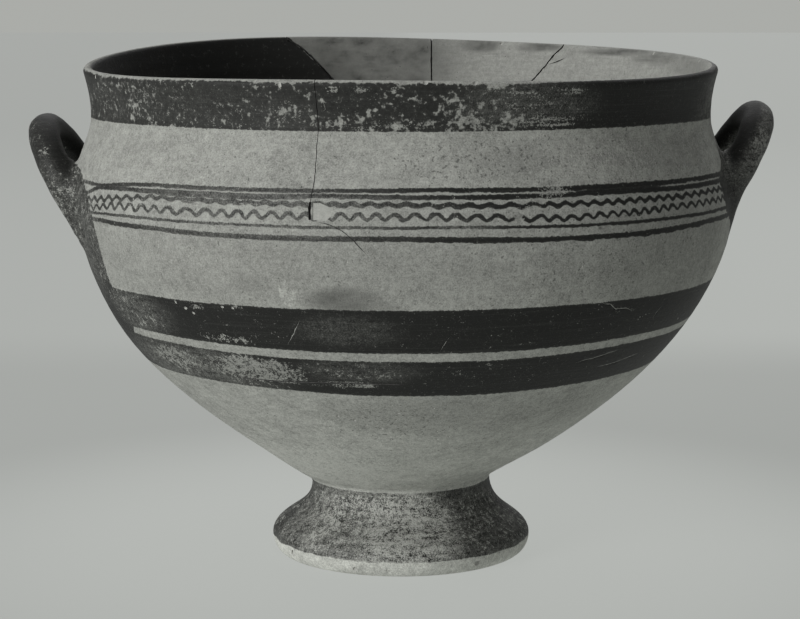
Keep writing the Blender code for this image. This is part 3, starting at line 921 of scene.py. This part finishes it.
def patches(spots, turn, level):
    """Strength of the nearest soft patch at each place."""
    total = np.zeros(len(turn))
    for middle, height, half_turn, half_height, strength in spots:
        aside = ((turn - middle + 180.0) % 360.0 - 180.0) / half_turn
        away = np.hypot(np.abs(aside) if half_turn < 180 else 0.0 * aside, (level - height) / half_height)
        total = np.maximum(total, strength * (1.0 - smooth_step(away, *PATCH_EDGE)))
    return total


def store(mesh, name, *values):
    """Keep one or three numbers on each corner of the mesh, for its material to read."""
    kind = "FLOAT" if len(values) == 1 else "FLOAT_VECTOR"
    layer = mesh.attributes.new(name, kind, "POINT")
    field = "value" if len(values) == 1 else "vector"
    layer.data.foreach_set(field, np.column_stack(values).astype(np.float32).ravel())


def lay_out_painting(mesh):
    """Write down on the mesh where the painter's lines run, where time has worn them, and where light and
    shade are painted into the clay's tone.
    """
    places, normals = at_corners(mesh, "co"), at_corners(mesh, "normal")
    turn, level = np.degrees(turn_of(places)), places[:, 2] / MM
    radius = np.hypot(places[:, 0], places[:, 1])
    height = true_height(places)
    face, inner_face = outer_face(places), inner_radius(height)
    above_floor = height > FLOOR_HEIGHT - 0.003
    through = np.where(above_floor, (face - radius) / np.maximum(face - inner_face, 0.001), 0.0)
    under = np.where(above_floor, 0.0, smooth_step(face - radius, 0.004, 0.009))
    store(mesh, "wall", np.clip(through, -1.0, 2.0), under, around(LIP_COVER, turn))

    lines = list(LINES.values())
    for label, group in (("a", lines[:3]), ("b", lines[3:])):
        store(mesh, "line_levels_" + label, *[around(levels, turn) for levels, _ in group])
        store(mesh, "line_halves_" + label, *[around(halves, turn) for _, halves in group])
    first_turn, last_turn = WAVE_CRESTS[0][0], WAVE_CRESTS[-1][0]
    crests = WAVE_CRESTS + ((first_turn + 360.0, WAVES_IN_ALL),)
    count = np.interp((turn - first_turn) % 360.0 + first_turn, *zip(*crests))
    even = ((turn - first_turn) % 360.0 + first_turn) * WAVES_IN_ALL / 360.0
    store(mesh, "waves", count - even, around(WAVE_SWINGS, turn), around(UPPER_WAVE_SWINGS, turn))
    store(mesh, "edges_a", *[around(edge, turn) for edge in (RIM_BAND_LOW, FIRST_BAND_TOP, FIRST_BAND_LOW)])
    trails = np.full(len(turn), -50.0)
    for side, widths in TRAILS.items():
        half = np.interp(level, *zip(*widths))
        from_axis = np.abs(turn - side * 90.0)
        trails = np.maximum(trails, (half - from_axis) * math.radians(BELLY_RADIUS / MM))
    out = np.where(places[:, 0] > 0, 1.0, -1.0) * math.sin(SHELTER_SLOPE)
    facing = normals[:, 0] * out - normals[:, 2] * math.cos(SHELTER_SLOPE)
    on_handle = smooth_step(np.where(np.abs(places[:, 0]) > 0.15, off_wall(places), 0.0), 0.002, 0.006)
    open_air = 1.0 - on_handle * (1.0 - smooth_step(facing, -0.55, 0.1))
    standing_off = np.where(np.abs(places[:, 0]) > 0.15, off_wall(places) / MM - 2.0, -50.0)
    trails = np.maximum(trails, np.where(level > 150.0, standing_off, -50.0))
    store(mesh, "edges_b", around(SECOND_BAND_TOP, turn), around(SECOND_BAND_LOW, turn),
          np.maximum(trails, -50.0))

    draw = random.Random(3)
    unseen = [(draw.uniform(75, 285), draw.choice((130, 155, 215, 262, 270)), draw.uniform(3, 12),
               draw.uniform(3, 9), draw.uniform(0.35, 0.8)) for _ in range(UNSEEN_PATCHES)]
    store(mesh, "wear", patches(WORN + tuple(unseen), turn, level) * open_air,
          patches(THIN, turn, level) * open_air, patches(STREAKED, turn, level))
    # Near black inside: a dark sherd from the open break, with painted shade carried on over the left of the
    # inside wall. The stored dirt also takes the pale patches, with their painted light.
    first, last = [edge["turn"] + edge["lean"] * (level - edge["level"]) for edge in (SHERD_BREAK, SHERD_AND_SHADE_END)]
    across = np.minimum(turn - first, last - turn)
    dark = np.minimum(across * math.radians(NECK_RADIUS / MM), level - around(DARK_SHERD_AND_SHADE_LOW, turn))
    soiled = np.where(through > 0.5, patches(INSIDE_SOILED, turn, level), patches(SOILED, turn, level))
    store(mesh, "dirt_and_shade", soiled, patches(PALED_AND_LIT, turn, level), np.clip(dark, -50.0, 50.0))
    store(mesh, "spatter", patches(SPATTERED, turn, level))


class Nodes:
    """A material's nodes, with short ways to add and join them."""

    def __init__(self, name):
        self.material = bpy.data.materials.new(name)
        self.material.use_nodes = True
        self.tree = self.material.node_tree
        self.shader = self.tree.nodes["Principled BSDF"]
        self.place = self.tree.nodes.new("ShaderNodeTexCoord").outputs["Object"]

    def feed(self, socket, value):
        if isinstance(value, Value):
            value = value.socket
        if isinstance(value, bpy.types.NodeSocket):
            self.tree.links.new(value, socket)
        else:
            socket.default_value = value

    def maths(self, operation, *values):
        made = self.tree.nodes.new("ShaderNodeMath")
        made.operation = operation
        for socket, value in zip(made.inputs, values):
            self.feed(socket, value)
        return Value(self, made.outputs[0])

    def most(self, *values):
        return reduce(lambda found, value: self.maths("MAXIMUM", found, value), values)

    def least(self, *values):
        return reduce(lambda found, value: self.maths("MINIMUM", found, value), values)

    def step(self, value, low, high):
        """From 0 at the low value to 1 at the high one."""
        made = self.tree.nodes.new("ShaderNodeMapRange")
        made.interpolation_type = "SMOOTHSTEP"
        for name, number in (("Value", value), ("From Min", low), ("From Max", high)):
            self.feed(made.inputs[name], number)
        return Value(self, made.outputs["Result"])

    def blend(self, share, first, second):
        return first + (second - first) * share

    def parts(self, vector):
        made = self.tree.nodes.new("ShaderNodeSeparateXYZ")
        self.feed(made.inputs[0], vector)
        return [Value(self, socket) for socket in made.outputs]

    def stored(self, name):
        made = self.tree.nodes.new("ShaderNodeAttribute")
        made.attribute_name = name
        return self.parts(made.outputs["Vector"])

    def grain(self, size, tall=None, detail=2.0, shift=0.0):
        """Noise from about -0.5 to 0.5 whose grains are so many mm wide and tall."""
        scaled = self.tree.nodes.new("ShaderNodeVectorMath")
        scaled.operation = "MULTIPLY_ADD"
        self.feed(scaled.inputs[0], self.place)
        scaled.inputs[1].default_value = (1.0 / (size * MM), 1.0 / (size * MM), 1.0 / ((tall or size) * MM))
        scaled.inputs[2].default_value = (shift, shift * 1.7, shift * 2.3)
        made = self.tree.nodes.new("ShaderNodeTexNoise")
        made.inputs["Scale"].default_value = 1.0
        made.inputs["Detail"].default_value = detail
        self.feed(made.inputs["Vector"], scaled.outputs[0])
        return (Value(self, made.outputs[0]) - 0.5) * GRAIN_CONTRAST

    def finish(self, tone, tint, roughness, height):
        """Join tone, roughness and the height of the relief, in mm, to the shader."""
        colour = self.tree.nodes.new("ShaderNodeVectorMath")
        colour.operation = "SCALE"
        colour.inputs[0].default_value = tint
        self.feed(colour.inputs["Scale"], tone)
        self.feed(self.shader.inputs["Base Color"], colour.outputs[0])
        self.feed(self.shader.inputs["Roughness"], roughness)
        relief = self.tree.nodes.new("ShaderNodeBump")
        relief.inputs["Distance"].default_value = MM
        self.feed(relief.inputs["Height"], height)
        self.feed(self.shader.inputs["Normal"], relief.outputs[0])
        return self.material


class Value:
    """A number that the shader works out at each point of the surface."""

    def __init__(self, nodes, socket):
        self.nodes = nodes
        self.socket = socket

    def __add__(self, other):
        return self.nodes.maths("ADD", self, other)

    def __sub__(self, other):
        return self.nodes.maths("SUBTRACT", self, other)

    def __rsub__(self, other):
        return self.nodes.maths("SUBTRACT", other, self)

    def __mul__(self, other):
        return self.nodes.maths("MULTIPLY", self, other)

    def __truediv__(self, other):
        return self.nodes.maths("DIVIDE", self, other)

    def __abs__(self):
        return self.nodes.maths("ABSOLUTE", self)

    __radd__ = __add__
    __rmul__ = __mul__


def painted_clay():
    """Pale fired clay with dark bands, lines and waves, worn as time has left them, with painted light low on
    the wall and painted shade inside.
    """
    n = Nodes("painted_clay")
    across, depth, up = n.parts(n.place)
    through, under, lip_cover = n.stored("wall")
    worn, thin, streaked = n.stored("wear")
    soiled, paled_and_lit, dark_sherd_and_shade = n.stored("dirt_and_shade")
    rim_low, first_top, first_low = n.stored("edges_a")
    second_top, second_low, trails = n.stored("edges_b")
    spatter = n.stored("spatter")[0]

    slow, broad = n.grain(34, detail=3.0), n.grain(11, 7, 3.0, 4.1)
    middle, fine = n.grain(2.8, detail=4.0, shift=8.3), n.grain(0.9, detail=3.0, shift=2.2)
    streak, thread = n.grain(19, 1.5, 4.0, 5.7), n.grain(60, 0.8, 3.0, 1.9)
    dust = n.grain(0.5, detail=2.0, shift=7.4)
    upright = n.grain(1.7, 8, 3.0, 6.1)

    level = up * (1.0 / MM)
    ragged = broad * 0.30 + n.grain(2.4, detail=2.0, shift=6.6) * 0.38 + fine * 0.16
    drawn = level + ragged
    count = n.maths("ARCTAN2", across, depth * -1.0) * (WAVES_IN_ALL / math.tau)
    shift, swing, upper_swing = n.stored("waves")
    round_trip = (count + shift + 0.5 + broad * 0.09) * math.pi
    swing = swing * (1.0 + slow * 0.25)
    arcs = abs(n.maths("SINE", round_trip)) * 2.0 - 1.0
    swell = n.maths("COSINE", round_trip * 2.0) * -1.0
    crest = n.blend(0.55, arcs, swell)
    lean = n.maths("SINE", round_trip * 2.0) * swing * (math.tau / WAVE_LENGTH)
    steepness = n.maths("SQRT", lean * lean + 1.0)
    upper_crest = n.maths("SINE", round_trip * 2.0 + 0.8)

    levels = n.stored("line_levels_a") + n.stored("line_levels_b")
    halves = n.stored("line_halves_a") + n.stored("line_halves_b")
    offsets = (0.0, 0.0, upper_crest * upper_swing, crest * swing, 0.0, 0.0)
    strokes = []
    for middle_level, half, offset in zip(levels, halves, offsets):
        gap = abs(drawn - middle_level - offset)
        half = half * (1.0 + broad * 0.28 + middle * 0.22)
        strokes.append(half - (gap / steepness if offset is offsets[3] else gap))
    stroke = n.most(*strokes)
    first_band = n.least(first_top - drawn, drawn - first_low)
    second_band = n.least(second_top - drawn, drawn - second_low)
    lip_limit = (lip_cover + 0.08 - through) * (LIP_THICKNESS / MM) + ragged * 1.5
    rim_band = n.least(drawn - rim_low, lip_limit)
    outside = (0.5 - through) * (WALL / MM)
    foot = n.least(FOOT_PAINT[1] - drawn, drawn - FOOT_PAINT[0] + broad * 0.8, (0.5 - under) * 10.0)
    body = n.least(n.most(first_band, second_band, trails + ragged * 2.5, stroke), outside)
    paint = n.most(body, rim_band, n.least(foot, outside))

    flaking = n.blend(streaked, middle, streak) * 0.50 + fine * 0.46 + dust * 0.26
    flaking = flaking + broad * 0.22 + slow * 0.12
    near_edge = 1.0 - n.step(paint, 0.0, 1.1)
    limit = 0.66 - worn * 0.80 - near_edge * 0.09
    kept = 1.0 - n.step(flaking, limit - 0.12, limit + 0.14) * 0.86
    cover = n.step(paint, -0.16, 0.16) * kept

    mottle = slow * 0.14 + broad * 0.18 + middle * 0.25 + fine * 0.33 + dust * 0.28 + thread * 0.06
    clay_tone = CLAY_TONE * (1.0 + mottle)
    speckle = n.step(n.grain(1.7, detail=1.0, shift=3.3) + spatter * 0.34, 0.78, 0.88)
    small_pits = n.step(n.grain(0.9, detail=1.0, shift=9.1), 0.48, 0.62)
    soil = soiled * (0.75 + broad * 0.45 + middle * 0.25 + fine * 0.15) * 0.36
    smudge = n.step(slow + streak * 0.35, 0.25, 0.8) * 0.13
    # Painted light: the clay is made lighter low on the body and at the foot's edge, as if lit from the floor
    lower = (1.0 - n.step(level, 58.0, 112.0)) * 0.24 + (1.0 - n.step(level, 9.0, 14.0)) * 0.20
    clay_tone = clay_tone * (1.0 + lower)
    clay_tone = clay_tone * (1.0 - speckle * 0.45) * (1.0 - small_pits * 0.14) * (1.0 - soil) * (1.0 - smudge)
    # Pale scrapes and fills, and painted light low on the wall and on the right
    pale = n.step(paled_and_lit * 0.75 + upright * 0.55 + fine * 0.35, 0.45, 1.05)
    clay_tone = n.blend(pale, clay_tone, PALE_AND_LIT_TONE + fine * 0.05)

    see_through = thin * (1.0 + streak * 0.6 + middle * 0.9 + fine * 1.1 + dust * 1.2 + broad * 0.4)
    paint_tone = PAINT_TONE + n.most(see_through, 0.0) * 0.105 + near_edge * 0.014
    paint_tone = paint_tone + n.step(fine + dust + middle * 0.5, 0.2, 1.2) * 0.035
    paint_tone = paint_tone + n.step(thread + streak * 0.4, 0.1, 0.6) * 0.008
    stain = 1.0 - n.step(paint, -0.5, 0.3) * 0.22
    tone = n.blend(cover, clay_tone * stain, paint_tone)

    within = n.step(through, 0.62, 0.85)
    old_film = n.step(slow * 0.5 + broad * 0.5 + streak * 0.4, -0.1, 0.6)
    within_tone = INSIDE_TONE * (1.0 + slow * 0.16 + broad * 0.14 + middle * 0.18 + fine * 0.20)
    within_tone = within_tone * (1.0 - old_film * 0.22)
    within_tone = within_tone * (1.0 - n.least(soil * 1.9, 0.85)) * (1.0 - speckle * 0.5)
    # Near black inside: the dark sherd, and painted shade over the left of the inside wall
    black = n.step(dark_sherd_and_shade + ragged * 3.0, -0.3, 0.3)
    within_tone = n.blend(black, within_tone, DARK_SHERD_AND_SHADE_TONE + n.step(middle + fine * 0.5, 0.3, 0.9) * 0.04)
    tone = n.blend(within, tone, within_tone)
    tone = n.blend(under, tone, INSIDE_TONE * (1.0 + broad * 0.14 + middle * 0.14 + fine * 0.1))

    painted = n.most(cover * (1.0 - within), black * within)
    roughness = 0.80 - painted * 0.22 + fine * 0.05 + soil * 0.1
    height = painted * 0.04 + fine * 0.04 + middle * 0.06 + thread * 0.03 + streak * 0.03
    height = height - speckle * 0.06 - small_pits * 0.05
    n.shader.inputs["Specular IOR Level"].default_value = 0.2
    return n.finish(tone, CLAY_TINT, roughness, height)


def broken_clay():
    """Grainy pale clay where the surface is broken away or scratched."""
    n = Nodes("broken_clay")
    coarse, fine = n.grain(2.1, detail=4.0), n.grain(0.6, detail=2.0, shift=3.0)
    tone = BROKEN_TONE * (1.0 + coarse * 0.18 + fine * 0.14)
    return n.finish(tone, BROKEN_TINT, 0.86 + fine * 0.05, coarse * 0.1 + fine * 0.06)


def crack_dirt():
    """Old earth and shadow down in the cracks."""
    n = Nodes("crack_dirt")
    coarse, fine = n.grain(3.0, detail=3.0), n.grain(0.7, detail=2.0, shift=5.0)
    tone = DIRT_TONE * (1.0 + coarse * 0.45 + fine * 0.3)
    return n.finish(tone, DIRT_TINT, 0.9 + fine * 0.05, coarse * 0.1 + fine * 0.07)


def add_camera():
    data = bpy.data.cameras.new("camera")
    data.lens = CAMERA_LENS
    data.sensor_width = CAMERA_SENSOR
    data.shift_x = CAMERA_SHIFT
    camera = bpy.data.objects.new("camera", data)
    camera.location = (0.0, -CAMERA_DISTANCE, CAMERA_HEIGHT)
    camera.rotation_euler = (math.pi / 2 - CAMERA_PITCH, 0.0, 0.0)
    bpy.context.scene.collection.objects.link(camera)
    bpy.context.scene.camera = camera


def add_light(name, turn, rise, strength, softness):
    data = bpy.data.lights.new(name, "SUN")
    data.energy = strength
    data.angle = math.radians(softness)
    lamp = bpy.data.objects.new(name, data)
    turn, rise = math.radians(turn), math.radians(rise)
    towards = Vector((math.sin(turn) * math.cos(rise), -math.cos(turn) * math.cos(rise), math.sin(rise)))
    lamp.rotation_mode = "QUATERNION"
    lamp.rotation_quaternion = towards.to_track_quat("Z", "Y")
    bpy.context.scene.collection.objects.link(lamp)


def tinted(tone):
    return (*[tone * share for share in PAPER_TINT], 1.0)


def add_room():
    """Even soft fill from all round, and a plain tone behind."""
    world = bpy.data.worlds.new("room")
    world.use_nodes = True
    tree = world.node_tree
    tree.nodes.clear()
    seen = tree.nodes.new("ShaderNodeLightPath")
    pick = tree.nodes.new("ShaderNodeMixShader")
    out = tree.nodes.new("ShaderNodeOutputWorld")
    tree.links.new(seen.outputs["Is Camera Ray"], pick.inputs[0])
    for socket, colour in ((1, (FILL_TONE, FILL_TONE, FILL_TONE, 1.0)), (2, tinted(BACKGROUND_TONE))):
        sky = tree.nodes.new("ShaderNodeBackground")
        sky.inputs["Color"].default_value = colour
        tree.links.new(sky.outputs[0], pick.inputs[socket])
    tree.links.new(pick.outputs[0], out.inputs["Surface"])
    bpy.context.scene.world = world


def paper():
    """Pale seamless paper, lying flat, with a painted pool of light round the foot and a painted step of
    light and shade behind the bowl in place of a soft fold.
    """
    n = Nodes("paper")
    across, depth, _ = n.parts(n.place)
    # A painted pool of light on the paper round the foot
    near = 1.0 - n.step(across * across + depth * depth, 0.0, NEAR_REACH ** 2)
    far = FAR_GLOW + n.step(across, -SIDE_REACH, SIDE_REACH) * RIGHT_GLOW
    far = far - n.step(depth, *FADE_RANGE) * FAR_FADE
    glow = n.blend(n.step(depth, *FLOOR_STEP), FLOOR_GLOW + near * NEAR_GLOW, far)
    n.shader.inputs["Base Color"].default_value = tinted(PAPER_TONE)
    n.shader.inputs["Roughness"].default_value = 0.9
    n.shader.inputs["Emission Color"].default_value = GLOW_TINT
    n.feed(n.shader.inputs["Emission Strength"], glow)
    return n.material


def add_floor():
    half = FLOOR_SIZE / 2
    corners = [(-half, -half, 0.0), (half, -half, 0.0), (half, half, 0.0), (-half, half, 0.0)]
    floor = mesh_object("floor", corners, [(0, 1, 2, 3)])
    floor.data.materials.append(paper())


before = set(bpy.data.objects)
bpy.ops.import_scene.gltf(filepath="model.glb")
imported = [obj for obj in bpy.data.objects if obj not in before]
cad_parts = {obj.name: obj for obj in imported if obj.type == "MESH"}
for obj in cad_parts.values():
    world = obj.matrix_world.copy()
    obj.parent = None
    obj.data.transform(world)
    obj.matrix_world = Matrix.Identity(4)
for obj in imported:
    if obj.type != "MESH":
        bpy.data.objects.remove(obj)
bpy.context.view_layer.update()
bpy.context.scene.view_settings.view_transform = "Standard"

add_camera()
for lamp_name, lamp_make in LAMPS.items():
    add_light(lamp_name, *lamp_make)
add_room()
add_floor()
bowl = build_pot({"painted": painted_clay(), "broken": broken_clay(), "dirt_and_shade": crack_dirt()})
lay_out_painting(bowl.data)
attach(bowl, "root")
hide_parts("bowl")
print("triangles", sum(len(face.vertices) - 2 for face in bowl.data.polygons))
